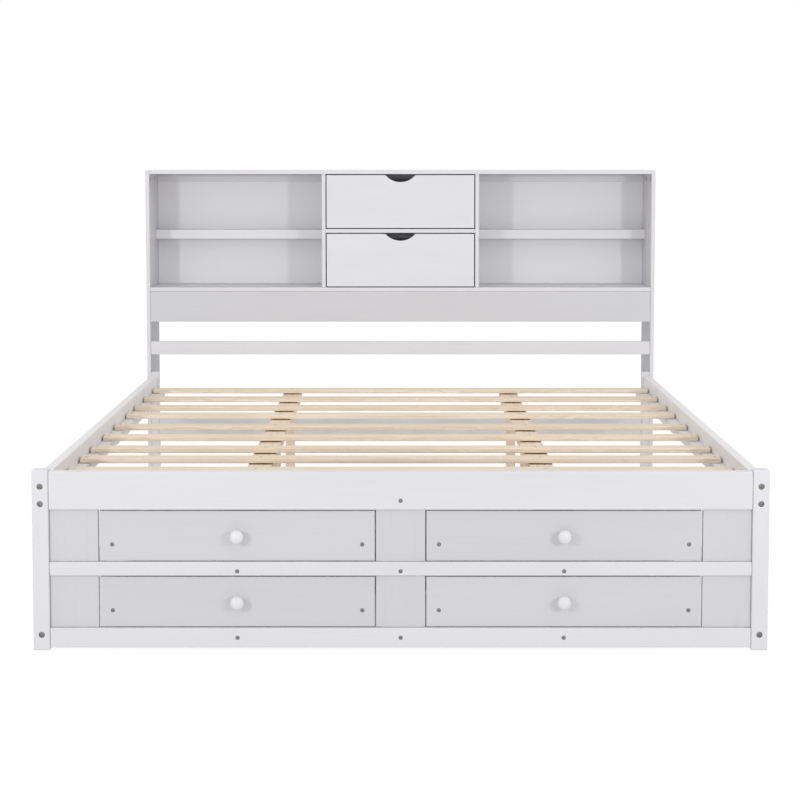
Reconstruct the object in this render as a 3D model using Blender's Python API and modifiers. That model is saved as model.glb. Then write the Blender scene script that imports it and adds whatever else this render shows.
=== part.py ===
"""Platform bed with a bookcase headboard, a slatted deck and six storage drawers.

Metres, +Z up. The origin is on the floor at the centre of the bed's bounding box.
-Y is the foot end, where the four large drawers pull out; +Y is the headboard.
Every board, slat, drawer part and knob is its own object. Boards that touch keep a
gap of SEAM between them.
"""
import math

import bmesh
import bpy

# Overall sizes
WIDTH = 1.600
BED_LENGTH = 2.070            # front of the foot posts to the front of the headboard
HEADBOARD_DEPTH = 0.240
HEADBOARD_HEIGHT = 1.032
FOOT_HEIGHT = 0.397
SEAM = 0.0003                 # gap left between pieces that touch
EDGE_ROUND = 0.0015           # softened edge of a board
REVEAL = 0.002                # visible gap around an inset drawer front

# Foot frame
POST_SIZE = 0.036
RAIL_THICKNESS = 0.022
MID_RAIL_THICKNESS = 0.015
RAIL_SETBACK = 0.001          # rails sit this far behind the face of the posts
TOP_RAIL_Z = (0.310, 0.394)
MID_RAIL_Z = (0.165, 0.1955)
BOTTOM_RAIL_Z = (0.0065, 0.050)
PANEL_THICKNESS = 0.015
PANEL_RECESS = 0.008          # panels and drawer fronts, behind the face of the posts

# Foot drawers
DRAWER_CENTRE_X = 0.3555
DRAWER_FRONT_WIDTH = 0.600
DRAWER_BOX_WIDTH = 0.559
DRAWER_BOX_DEPTH = 0.600
DRAWER_BOX_HEIGHT = 0.088
DRAWER_WALL = 0.015
DRAWER_BOTTOM = 0.006
DRAWER_LIFT = 0.001           # the box bottom above its guide
GUIDE_WIDTH = 0.040
BACK_BOARD_THICKNESS = 0.015
BACK_BOARD_HALF_WIDTH = 0.660
BACK_BOARD_TOP = 0.300
BACK_BOARD_CLEARANCE = 0.012  # behind the closed drawer boxes

# Knobs
KNOB_RADIUS = 0.015
KNOB_LENGTH = 0.030
KNOB_NECK_RADIUS = 0.0065
KNOB_BASE_RADIUS = 0.009
KNOB_NECK_LENGTH = 0.013
KNOB_STEPS = 32

# Side rails and deck
SIDE_RAIL_X = (0.769, 0.791)
SIDE_RAIL_Z = (0.300, 0.384)
LOWER_SIDE_RAIL_Z = (0.0135, 0.0565)
LEDGER_SIZE = 0.025
SLAT_TOP = 0.357
SLAT_THICKNESS = 0.012
SLAT_WIDTH = 0.054
SLAT_HALF_LENGTH = 0.765
# Centres of the slats behind the foot face; they are laid by eye, so not quite evenly
SLAT_PLACES = (0.115, 0.295, 0.479, 0.651, 0.867, 1.078, 1.321, 1.503, 1.719, 1.948)
BEAM_CENTRE_X = 0.335
BEAM_WIDTH = 0.056
BEAM_THICKNESS = 0.022
BEAM_DROP = 0.003             # the beams hang just clear of the unloaded slats
BEAM_END = 1.980
BEAM_LEG_SIZE = 0.027
BEAM_LEG_PLACE = 1.070        # behind the foot face

# Headboard
BOARD = 0.012                 # board thickness of the bookcase
BACK_PANEL_THICKNESS = 0.005
BACK_PANEL_INSET = 0.005
BOOKCASE_FLOOR_Z = 0.652      # underside of the lowest shelf
MID_SHELF_Z = 0.836           # underside of the board between the two drawers
DIVIDER_X = (0.235, 0.247)
LEDGE_Z = (0.8106, 0.8406)
LEDGE_SETBACK = 0.165
APRON_Z = (0.556, 0.652)
APRON_THICKNESS = 0.015
UPPER_RAIL_Z = (0.452, 0.4935)
LOWER_RAIL_Z = (0.195, 0.255)
HEAD_RAIL_THICKNESS = 0.020
LEG_POST_X = (0.764, 0.788)

# Headboard drawers
SMALL_FRONT_THICKNESS = 0.012
SMALL_BOX_HALF_WIDTH = 0.222
SMALL_BOX_DEPTH = 0.200
SMALL_BOX_HEIGHT = 0.110
SMALL_WALL = 0.010
FINGER_CHORD = 0.096
FINGER_DEPTH = 0.023
FINGER_STEPS = 64

# Places along Y
KNOB_REACH = KNOB_LENGTH - PANEL_RECESS
LENGTH = KNOB_REACH + BED_LENGTH + HEADBOARD_DEPTH
FOOT_Y = -LENGTH / 2 + KNOB_REACH
HEAD_Y = FOOT_Y + BED_LENGTH
BACK_Y = HEAD_Y + HEADBOARD_DEPTH
FRONT_FACE_Y = FOOT_Y + PANEL_RECESS
BOX_FRONT_Y = FRONT_FACE_Y + PANEL_THICKNESS
BOX_BACK_Y = BOX_FRONT_Y + DRAWER_BOX_DEPTH
BACK_BOARD_Y = BOX_BACK_Y + BACK_BOARD_CLEARANCE
SHELF_BACK_Y = BACK_Y - BACK_PANEL_INSET - BACK_PANEL_THICKNESS

SIDES = (("left", -1), ("right", 1))
TIERS = (("lower", BOTTOM_RAIL_Z[1], MID_RAIL_Z[0]), ("upper", MID_RAIL_Z[1], TOP_RAIL_Z[0]))
HEAD_BAYS = (
    ("lower", BOOKCASE_FLOOR_Z + BOARD, MID_SHELF_Z),
    ("upper", MID_SHELF_Z + BOARD, HEADBOARD_HEIGHT - BOARD),
)

# Paint and timber: linear colour, roughness
FINISHES = {
    "frame_white": ((0.76, 0.76, 0.78, 1.0), 0.42),
    "panel_grey": ((0.62, 0.62, 0.64, 1.0), 0.48),
    "shelf_white": ((0.70, 0.70, 0.72, 1.0), 0.45),
    "drawer_board": ((0.66, 0.66, 0.67, 1.0), 0.50),
    "knob_white": ((0.80, 0.80, 0.82, 1.0), 0.30),
    "pine": ((0.78, 0.63, 0.46, 1.0), 0.60),
}


def clear_scene():
    """Remove every object so that the model starts from nothing."""
    for obj in list(bpy.data.objects):
        bpy.data.objects.remove(obj, do_unlink=True)


def new_collection(name):
    """A collection linked to the scene."""
    collection = bpy.data.collections.new(name)
    bpy.context.scene.collection.children.link(collection)
    return collection


def adopt(obj, collection):
    """Move an object into one collection only."""
    for owner in list(obj.users_collection):
        owner.objects.unlink(obj)
    collection.objects.link(obj)


def paint(name, finish):
    """A material of the object's own, in one of the bed's finishes."""
    colour, roughness = FINISHES[finish]
    material = bpy.data.materials.new(name)
    material.use_nodes = True
    shader = material.node_tree.nodes["Principled BSDF"]
    shader.inputs["Base Color"].default_value = colour
    shader.inputs["Roughness"].default_value = roughness
    shader.inputs["Metallic"].default_value = 0.0
    return material


def on_side(sign, span):
    """A span measured on the right-hand side, moved to the side that sign names."""
    low, high = span
    return (low, high) if sign > 0 else (-high, -low)


def centred(centre, width):
    """The span of a given width about a centre."""
    return (centre - width / 2, centre + width / 2)


def block(name, x, y, z, collection):
    """A plain box between three spans, with its origin at its centre."""
    spans = (x, y, z)
    bpy.ops.mesh.primitive_cube_add(size=1.0, location=[(low + high) / 2 for low, high in spans])
    obj = bpy.context.active_object
    obj.name = name
    obj.data.name = name
    obj.scale = [high - low for low, high in spans]
    bpy.ops.object.transform_apply(location=False, rotation=False, scale=True)
    adopt(obj, collection)
    return obj


def soften(obj, width=EDGE_ROUND):
    """Break the sharp edges of a board."""
    bevel = obj.modifiers.new("softened_edges", "BEVEL")
    bevel.width = width
    bevel.segments = 1
    bevel.limit_method = "ANGLE"
    bevel.angle_limit = math.radians(60)


def board(name, x, y, z, finish):
    """One painted or plain board with softened edges."""
    obj = block(name, x, y, z, parts)
    obj.data.materials.append(paint(name, finish))
    soften(obj)
    return obj


def hide_cutter(obj):
    """Mark an object as a cutting tool only."""
    obj.hide_render = True
    obj.display_type = "WIRE"


def cutter_block(name, x, y, z):
    """A box that only cuts other pieces."""
    obj = block(name, x, y, z, cutters)
    hide_cutter(obj)
    return obj


def combine(obj, tool, operation):
    """Cut a tool from an object, or join it on."""
    boolean = obj.modifiers.new(tool.name, "BOOLEAN")
    boolean.operation = operation
    boolean.solver = "EXACT"
    boolean.object = tool


def hold(children, handle):
    """Parent pieces to the empty that carries them, leaving them where they are."""
    for child in children:
        child.parent = handle
        child.matrix_parent_inverse = handle.matrix_world.inverted()


def slide_handle(name, location):
    """An empty on the slide axis of a drawer."""
    handle = bpy.data.objects.new(name, None)
    handle.location = location
    handle.empty_display_size = 0.05
    parts.objects.link(handle)
    bpy.context.view_layer.update()
    return handle


def build_foot_frame():
    """Posts and rails of the foot end, with the panels that fill between the drawers."""
    post_y = (FOOT_Y, FOOT_Y + POST_SIZE)
    inner_x = WIDTH / 2 - POST_SIZE
    for side, sign in SIDES:
        post_x = on_side(sign, (inner_x, WIDTH / 2))
        board(f"foot_post_{side}", post_x, post_y, (0.0, FOOT_HEIGHT), "frame_white")

    rail_x = (-inner_x + SEAM, inner_x - SEAM)
    rail_y = (FOOT_Y + RAIL_SETBACK, FOOT_Y + RAIL_SETBACK + RAIL_THICKNESS)
    mid_y = (FOOT_Y + RAIL_SETBACK, FOOT_Y + RAIL_SETBACK + MID_RAIL_THICKNESS)
    board("foot_top_rail", rail_x, rail_y, TOP_RAIL_Z, "frame_white")
    board("foot_mid_rail", rail_x, mid_y, MID_RAIL_Z, "frame_white")
    board("foot_bottom_rail", rail_x, rail_y, BOTTOM_RAIL_Z, "frame_white")

    # The panels run past the middle rail, which is let into their faces.
    housing = cutter_block(
        "mid_rail_housing",
        (-WIDTH / 2, WIDTH / 2),
        (FOOT_Y - POST_SIZE, mid_y[1] + SEAM),
        (MID_RAIL_Z[0] - SEAM, MID_RAIL_Z[1] + SEAM),
    )
    drawer_inner = DRAWER_CENTRE_X - DRAWER_FRONT_WIDTH / 2
    drawer_outer = DRAWER_CENTRE_X + DRAWER_FRONT_WIDTH / 2
    outer_span = (drawer_outer + REVEAL, inner_x - SEAM)
    middle_span = (-drawer_inner + REVEAL, drawer_inner - REVEAL)
    panel_spans = {
        "left": on_side(-1, outer_span),
        "middle": middle_span,
        "right": outer_span,
    }
    panel_y = (FRONT_FACE_Y, FRONT_FACE_Y + PANEL_THICKNESS)
    panel_z = (BOTTOM_RAIL_Z[1] + SEAM, TOP_RAIL_Z[0] - SEAM)
    for place, span in panel_spans.items():
        panel = block(f"foot_panel_{place}", span, panel_y, panel_z, parts)
        panel.data.materials.append(paint(panel.name, "panel_grey"))
        combine(panel, housing, "DIFFERENCE")


def build_sides():
    """Side rails, the lower side rails and the ledgers that carry the slats."""
    along = (FOOT_Y + POST_SIZE + SEAM, HEAD_Y - SEAM)
    ledger_top = SLAT_TOP - SLAT_THICKNESS - SEAM
    ledger_z = (ledger_top - LEDGER_SIZE, ledger_top)
    ledger_span = (SIDE_RAIL_X[0] - LEDGER_SIZE, SIDE_RAIL_X[0] - SEAM)
    for side, sign in SIDES:
        rail_x = on_side(sign, SIDE_RAIL_X)
        board(f"side_rail_{side}", rail_x, along, SIDE_RAIL_Z, "frame_white")
        board(f"lower_side_rail_{side}", rail_x, along, LOWER_SIDE_RAIL_Z, "frame_white")
        board(f"slat_ledger_{side}", on_side(sign, ledger_span), along, ledger_z, "frame_white")


def build_deck():
    """Slats, and the two lengthwise beams under them with their legs."""
    slat_z = (SLAT_TOP - SLAT_THICKNESS, SLAT_TOP)
    for index, place in enumerate(SLAT_PLACES):
        slat_y = centred(FOOT_Y + place, SLAT_WIDTH)
        slat_x = (-SLAT_HALF_LENGTH, SLAT_HALF_LENGTH)
        board(f"slat_{index + 1:02d}", slat_x, slat_y, slat_z, "pine")

    beam_top = slat_z[0] - BEAM_DROP
    beam_z = (beam_top - BEAM_THICKNESS, beam_top)
    beam_y = (FOOT_Y + RAIL_SETBACK + RAIL_THICKNESS + SEAM, FOOT_Y + BEAM_END)
    leg_y = centred(FOOT_Y + BEAM_LEG_PLACE, BEAM_LEG_SIZE)
    leg_z = (0.0, beam_z[0] - SEAM)
    for side, sign in SIDES:
        centre = sign * BEAM_CENTRE_X
        board(f"centre_beam_{side}", centred(centre, BEAM_WIDTH), beam_y, beam_z, "pine")
        board(f"centre_leg_{side}", centred(centre, BEAM_LEG_SIZE), leg_y, leg_z, "pine")


def build_drawer_support():
    """The board behind the drawers and the guides that carry the upper pair."""
    back_y = (BACK_BOARD_Y, BACK_BOARD_Y + BACK_BOARD_THICKNESS)
    back_x = (-BACK_BOARD_HALF_WIDTH, BACK_BOARD_HALF_WIDTH)
    board("drawer_back_board", back_x, back_y, (0.0, BACK_BOARD_TOP), "drawer_board")
    guide_y = (FOOT_Y + RAIL_SETBACK + MID_RAIL_THICKNESS + SEAM, BACK_BOARD_Y - SEAM)
    for side, sign in SIDES:
        guide_x = centred(sign * DRAWER_CENTRE_X, GUIDE_WIDTH)
        board(f"drawer_guide_{side}", guide_x, guide_y, MID_RAIL_Z, "pine")


def build_drawer_box(name, centre, base):
    """An open-topped tray: two sides, a back and a bottom, open towards the drawer front."""
    outer_x = centred(centre, DRAWER_BOX_WIDTH)
    box_y = (BOX_FRONT_Y + SEAM, BOX_BACK_Y)
    box = block(name, outer_x, box_y, (base, base + DRAWER_BOX_HEIGHT), parts)
    box.data.materials.append(paint(name, "drawer_board"))
    hollow = cutter_block(
        f"{name}_hollow",
        (outer_x[0] + DRAWER_WALL, outer_x[1] - DRAWER_WALL),
        (box_y[0] - DRAWER_WALL, box_y[1] - DRAWER_WALL),
        (base + DRAWER_BOTTOM, base + 2 * DRAWER_BOX_HEIGHT),
    )
    combine(box, hollow, "DIFFERENCE")
    return box


def knob_profile():
    """Radius and height pairs of the mushroom knob, from its crown down to its base."""
    crown_steps = 8
    cap_length = KNOB_LENGTH - KNOB_NECK_LENGTH
    points = []
    for step in range(crown_steps + 1):
        angle = math.pi / 2 * step / crown_steps
        points.append((
            KNOB_RADIUS * math.sin(angle),
            KNOB_NECK_LENGTH + cap_length * 0.3 + cap_length * 0.7 * math.cos(angle),
        ))
    points.append((KNOB_RADIUS * 0.8, KNOB_NECK_LENGTH))
    points.append((KNOB_NECK_RADIUS, KNOB_NECK_LENGTH * 0.8))
    points.append((KNOB_NECK_RADIUS, KNOB_NECK_LENGTH * 0.35))
    points.append((KNOB_BASE_RADIUS, KNOB_NECK_LENGTH * 0.1))
    points.append((KNOB_BASE_RADIUS, SEAM))
    points.append((0.0, SEAM))
    return points


def build_knob(name, location):
    """A turned knob standing out from a drawer front along -Y."""
    mesh = bpy.data.meshes.new(name)
    outline = bmesh.new()
    corners = [outline.verts.new((radius, 0.0, height)) for radius, height in knob_profile()]
    for first, second in zip(corners, corners[1:]):
        outline.edges.new((first, second))
    outline.to_mesh(mesh)
    outline.free()
    knob = bpy.data.objects.new(name, mesh)
    parts.objects.link(knob)
    knob.location = location
    knob.rotation_euler = (math.pi / 2, 0.0, 0.0)
    turn = knob.modifiers.new("turned", "SCREW")
    turn.axis = "Z"
    turn.angle = 2 * math.pi
    turn.steps = KNOB_STEPS
    turn.render_steps = KNOB_STEPS
    turn.use_merge_vertices = True
    turn.merge_threshold = 0.00001
    turn.use_smooth_shade = True
    mesh.materials.append(paint(name, "knob_white"))
    return knob


def build_foot_drawers():
    """Four drawers in two tiers, each with its front, its box and its knob."""
    front_y = (FRONT_FACE_Y, FRONT_FACE_Y + PANEL_THICKNESS)
    for tier, low, high in TIERS:
        for side, sign in SIDES:
            centre = sign * DRAWER_CENTRE_X
            middle_z = (low + high) / 2
            label = f"{tier}_{side}"
            handle = slide_handle(f"drawer_{label}_slide", (centre, FRONT_FACE_Y, middle_z))
            front_x = centred(centre, DRAWER_FRONT_WIDTH)
            front_z = (low + REVEAL, high - REVEAL)
            front = board(f"drawer_front_{label}", front_x, front_y, front_z, "panel_grey")
            box = build_drawer_box(f"drawer_box_{label}", centre, low + DRAWER_LIFT)
            knob = build_knob(f"drawer_knob_{label}", (centre, FRONT_FACE_Y, middle_z))
            bpy.context.view_layer.update()
            hold((front, box, knob), handle)


def build_bookcase():
    """The headboard: side panels, shelves, dividers, back, ledges and rails."""
    inner = WIDTH / 2 - BOARD
    clear_x = (-inner + SEAM, inner - SEAM)
    deep = (HEAD_Y, BACK_Y)
    shelf_y = (HEAD_Y, SHELF_BACK_Y - SEAM)
    bay_low = BOOKCASE_FLOOR_Z + BOARD
    bay_high = HEADBOARD_HEIGHT - BOARD
    bay_z = (bay_low + SEAM, bay_high - SEAM)
    leg_y = (HEAD_Y, HEAD_Y + POST_SIZE)
    leg_span = (LEG_POST_X[0], LEG_POST_X[1] - SEAM)
    for side, sign in SIDES:
        panel_x = on_side(sign, (inner, WIDTH / 2))
        board(f"headboard_side_{side}", panel_x, deep, (0.0, HEADBOARD_HEIGHT), "frame_white")
        board(f"headboard_leg_{side}", on_side(sign, leg_span), leg_y, (0.0, FOOT_HEIGHT),
              "frame_white")
        board(f"headboard_divider_{side}", on_side(sign, DIVIDER_X), shelf_y, bay_z,
              "frame_white")
        build_ledge(f"headboard_ledge_{side}", sign, inner)

    board("headboard_top", clear_x, deep, (bay_high, HEADBOARD_HEIGHT), "frame_white")
    board("headboard_floor", clear_x, deep, (BOOKCASE_FLOOR_Z, bay_low), "frame_white")
    mid_x = (-DIVIDER_X[0] + SEAM, DIVIDER_X[0] - SEAM)
    board("headboard_mid_shelf", mid_x, shelf_y, (MID_SHELF_Z, MID_SHELF_Z + BOARD),
          "frame_white")
    back_y = (SHELF_BACK_Y, SHELF_BACK_Y + BACK_PANEL_THICKNESS)
    board("headboard_back", clear_x, back_y, bay_z, "shelf_white")

    apron_y = (HEAD_Y, HEAD_Y + APRON_THICKNESS)
    rail_y = (HEAD_Y, HEAD_Y + HEAD_RAIL_THICKNESS)
    lower_x = (-LEG_POST_X[0] + SEAM, LEG_POST_X[0] - SEAM)
    board("headboard_apron", clear_x, apron_y, (APRON_Z[0], APRON_Z[1] - SEAM), "panel_grey")
    board("headboard_upper_rail", clear_x, rail_y, UPPER_RAIL_Z, "frame_white")
    board("headboard_lower_rail", lower_x, rail_y, LOWER_RAIL_Z, "frame_white")


def build_ledge(name, sign, inner):
    """A shallow shelf with a downturned lip, fixed to the back of an open compartment."""
    ledge_x = on_side(sign, (DIVIDER_X[1] + SEAM, inner - SEAM))
    ledge_y = (HEAD_Y + LEDGE_SETBACK, SHELF_BACK_Y - SEAM)
    ledge = block(name, ledge_x, ledge_y, LEDGE_Z, parts)
    ledge.data.materials.append(paint(name, "frame_white"))
    underside = cutter_block(
        f"{name}_underside",
        (ledge_x[0] - BOARD, ledge_x[1] + BOARD),
        (ledge_y[0] + BOARD, ledge_y[1] + BOARD),
        (LEDGE_Z[0] - BOARD, LEDGE_Z[1] - BOARD),
    )
    combine(ledge, underside, "DIFFERENCE")
    return ledge


def finger_cutter(name, top):
    """A cylinder across the top edge of a front, which leaves a half-moon finger gap."""
    half_chord = FINGER_CHORD / 2
    radius = (half_chord ** 2 + FINGER_DEPTH ** 2) / (2 * FINGER_DEPTH)
    bpy.ops.mesh.primitive_cylinder_add(
        vertices=FINGER_STEPS,
        radius=radius,
        depth=4 * SMALL_FRONT_THICKNESS,
        location=(0.0, HEAD_Y + RAIL_SETBACK, top - FINGER_DEPTH + radius),
        rotation=(math.pi / 2, 0.0, 0.0),
    )
    obj = bpy.context.active_object
    obj.name = name
    adopt(obj, cutters)
    hide_cutter(obj)
    return obj


def build_headboard_drawers():
    """Two small drawers, each a tray behind a front with a finger gap."""
    for tier, low, high in HEAD_BAYS:
        name = f"headboard_drawer_{tier}"
        front_half = DIVIDER_X[0] - REVEAL
        front_z = (low + REVEAL, high - REVEAL)
        front_y = (HEAD_Y + RAIL_SETBACK, HEAD_Y + RAIL_SETBACK + SMALL_FRONT_THICKNESS)
        tray_y = (front_y[1] - SEAM, front_y[1] + SMALL_BOX_DEPTH)
        tray_z = (front_z[0] + REVEAL, front_z[0] + REVEAL + SMALL_BOX_HEIGHT)

        handle = slide_handle(f"{name}_slide", (0.0, front_y[0], (low + high) / 2))
        drawer = block(name, (-front_half, front_half), front_y, front_z, parts)
        drawer.data.materials.append(paint(name, "shelf_white"))
        tray_x = (-SMALL_BOX_HALF_WIDTH, SMALL_BOX_HALF_WIDTH)
        tray = cutter_block(f"{name}_tray", tray_x, tray_y, tray_z)
        hollow = cutter_block(
            f"{name}_hollow",
            (tray_x[0] + SMALL_WALL, tray_x[1] - SMALL_WALL),
            (front_y[1], tray_y[1] - SMALL_WALL),
            (tray_z[0] + DRAWER_BOTTOM, front_z[1] + SMALL_BOX_HEIGHT),
        )
        combine(drawer, tray, "UNION")
        combine(drawer, hollow, "DIFFERENCE")
        combine(drawer, finger_cutter(f"{name}_finger_gap", front_z[1]), "DIFFERENCE")
        bpy.context.view_layer.update()
        hold((drawer,), handle)


clear_scene()
parts = new_collection("platform_bed")
cutters = new_collection("cutters")
build_foot_frame()
build_sides()
build_deck()
build_drawer_support()
build_foot_drawers()
build_bookcase()
build_headboard_drawers()
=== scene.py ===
"""Looks of a white platform bed with a bookcase headboard and storage drawers.

Every painted board, pine slat, turned knob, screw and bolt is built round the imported
CAD frame. Metres, +Z up, -Y is the foot end and +Y the headboard.
"""
import math

import bmesh
import bpy
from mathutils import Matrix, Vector


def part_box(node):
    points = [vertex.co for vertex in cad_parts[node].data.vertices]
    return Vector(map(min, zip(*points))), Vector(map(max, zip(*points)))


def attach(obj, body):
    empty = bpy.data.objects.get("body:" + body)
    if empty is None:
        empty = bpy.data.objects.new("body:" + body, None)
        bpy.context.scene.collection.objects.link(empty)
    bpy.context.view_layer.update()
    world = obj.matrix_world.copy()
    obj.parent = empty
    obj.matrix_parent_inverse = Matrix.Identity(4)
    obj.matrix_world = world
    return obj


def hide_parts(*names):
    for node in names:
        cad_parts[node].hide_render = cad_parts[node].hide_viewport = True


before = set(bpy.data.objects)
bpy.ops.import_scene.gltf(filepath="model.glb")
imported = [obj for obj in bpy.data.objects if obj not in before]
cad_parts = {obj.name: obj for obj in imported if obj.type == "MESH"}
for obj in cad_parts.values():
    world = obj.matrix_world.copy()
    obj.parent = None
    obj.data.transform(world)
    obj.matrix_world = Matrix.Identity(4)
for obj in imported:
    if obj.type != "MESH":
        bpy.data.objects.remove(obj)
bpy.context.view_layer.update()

FRAME_BODY = "frame"
SIDES = (("left", -1), ("right", 1))
TIERS = ("lower", "upper")
SEAM = 0.0003                 # gap between boards that touch

# Edge radii
POST_RADIUS = 0.0035
RAIL_RADIUS = 0.0022
PANEL_RADIUS = 0.0012
SHEET_RADIUS = 0.0006
SLAT_RADIUS = 0.0026

# Fasteners
BOLT_RADIUS = 0.0062
BOLT_HEAD_HEIGHT = 0.0035
BOLT_HOLE_RADIUS = 0.0068
BOLT_HOLE_DEPTH = 0.0065
BOLT_SOCKET_RADIUS = 0.0032
BOLT_DOME = 0.0004            # how far a head's crown rises above its edge
SCREW_DOME = 0.0002
CAM_DOME = 0.0001
SCREW_RADIUS = 0.0042
SCREW_HOLE_RADIUS = 0.0047
SCREW_HOLE_DEPTH = 0.0022
SCREW_HEAD_HEIGHT = 0.0016
SMALL_SCREW_RADIUS = 0.0034
SMALL_SCREW_HEIGHT = SCREW_HEAD_HEIGHT * 0.7
SMALL_SCREW_CLEARANCE = 0.0004
SMALL_SCREW_HOLE_DEPTH = 0.0012
CAM_RADIUS = 0.0075
CAM_HEIGHT = 0.0012
HEAD_SINK = 0.002             # how far every head reaches below its seat
CUT_THROUGH = 0.05            # how far a cutter stands out of the face that it cuts

FOOT_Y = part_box("foot_post_left")[0].y
HEAD_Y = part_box("headboard_side_left")[0].y


# ---------------------------------------------------------------- materials

def new_material(name):
    """An empty node material with a Principled shader, and its tree and shader."""
    material = bpy.data.materials.new(name)
    material.use_nodes = True
    tree = material.node_tree
    return material, tree, tree.nodes["Principled BSDF"]


def add(tree, kind, inputs=None, **settings):
    """Add a node, set its properties, and set or link its inputs."""
    made = tree.nodes.new(kind)
    for key, value in settings.items():
        setattr(made, key, value)
    for key, value in (inputs or {}).items():
        if isinstance(value, bpy.types.NodeSocket):
            tree.links.new(value, made.inputs[key])
        else:
            made.inputs[key].default_value = value
    return made


def blend_colours(tree, factor, first, second, mode="MIX"):
    """A colour mix; factor, first and second are sockets or values."""
    mix = add(tree, "ShaderNodeMix", data_type="RGBA", blend_type=mode)
    for index, value in ((0, factor), (6, first), (7, second)):
        if isinstance(value, bpy.types.NodeSocket):
            tree.links.new(value, mix.inputs[index])
        else:
            mix.inputs[index].default_value = value
    return mix.outputs[2]


def calculate(tree, operation, first, second=0.0):
    """A math node's result."""
    return add(tree, "ShaderNodeMath", {0: first, 1: second}, operation=operation).outputs[0]


def remap(tree, value, old_low, old_high, low, high):
    """Map a value smoothly from one range to another, clamped."""
    return add(
        tree, "ShaderNodeMapRange",
        {"Value": value, 1: old_low, 2: old_high, 3: low, 4: high},
        interpolation_type="SMOOTHSTEP",
    ).outputs[0]


PIECE_SHIFT = 37.0            # the furthest that a texture is shifted on a piece


def own_coordinates(tree, stretch):
    """Coordinates fixed to the piece, shifted differently on each piece and stretched."""
    coordinates = add(tree, "ShaderNodeTexCoord").outputs["Object"]
    chance = add(tree, "ShaderNodeObjectInfo").outputs["Random"]
    far = calculate(tree, "MULTIPLY", chance, PIECE_SHIFT)
    shift = add(tree, "ShaderNodeCombineXYZ", {0: far, 1: far, 2: far}).outputs[0]
    moved = add(tree, "ShaderNodeVectorMath", {0: coordinates, 1: shift}, operation="ADD")
    scaled = add(tree, "ShaderNodeVectorMath", {0: moved.outputs[0], 1: stretch}, operation="MULTIPLY")
    return scaled.outputs[0]


def along_grain(axis, along, across):
    """A stretch with one value along the grain's axis and another across it."""
    return tuple(along if letter == axis else across for letter in "XYZ")


def noise(tree, vector, scale=1.0, detail=3.0, roughness=0.55):
    """The value of a noise texture."""
    return add(
        tree, "ShaderNodeTexNoise",
        {"Vector": vector, "Scale": scale, "Detail": detail, "Roughness": roughness},
    ).outputs[0]


def piece_tone(tree, spread):
    """A multiplier near one that differs from piece to piece."""
    chance = add(tree, "ShaderNodeObjectInfo").outputs["Random"]
    return remap(tree, chance, 0.0, 1.0, 1.0 - spread, 1.0 + spread)


def grey(tree, value):
    """A value as a grey colour."""
    return add(tree, "ShaderNodeCombineColor", {0: value, 1: value, 2: value}).outputs[0]


PAINT_SPREAD = 0.008          # tone difference between painted pieces
PINE_SPREAD = 0.035
PAINT_IOR = 1.47


def painted_wood(name, colour, axis, roughness):
    """Satin paint over timber: faint grain under the paint, roller stipple and soft tone drift."""
    material, tree, shader = new_material(name)
    grain = noise(tree, own_coordinates(tree, along_grain(axis, 5.0, 210.0)), detail=5.0)
    drift = noise(tree, own_coordinates(tree, along_grain(axis, 1.6, 7.0)), detail=2.0)
    stipple = noise(tree, own_coordinates(tree, (1.0, 1.0, 1.0)), scale=620.0, detail=2.0)
    polish = noise(tree, own_coordinates(tree, (1.0, 1.0, 1.0)), scale=16.0, detail=3.0)

    tone = remap(tree, drift, 0.3, 0.7, 0.985, 1.012)
    tone = calculate(tree, "MULTIPLY", tone, piece_tone(tree, PAINT_SPREAD))
    lines = remap(tree, grain, 0.30, 0.50, 0.978, 1.0)
    shade = calculate(tree, "MULTIPLY", tone, lines)
    base = blend_colours(tree, 1.0, (*colour, 1.0), grey(tree, shade), "MULTIPLY")
    tree.links.new(base, shader.inputs["Base Color"])
    tree.links.new(
        remap(tree, polish, 0.25, 0.75, roughness - 0.06, roughness + 0.07), shader.inputs["Roughness"]
    )
    fine = add(tree, "ShaderNodeBump", {"Strength": 0.25, "Distance": 0.00005, "Height": stipple})
    relief = add(
        tree, "ShaderNodeBump",
        {"Strength": 0.5, "Distance": 0.00012, "Height": grain, "Normal": fine.outputs[0]},
    )
    tree.links.new(relief.outputs[0], shader.inputs["Normal"])
    shader.inputs["IOR"].default_value = PAINT_IOR
    return material


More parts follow.
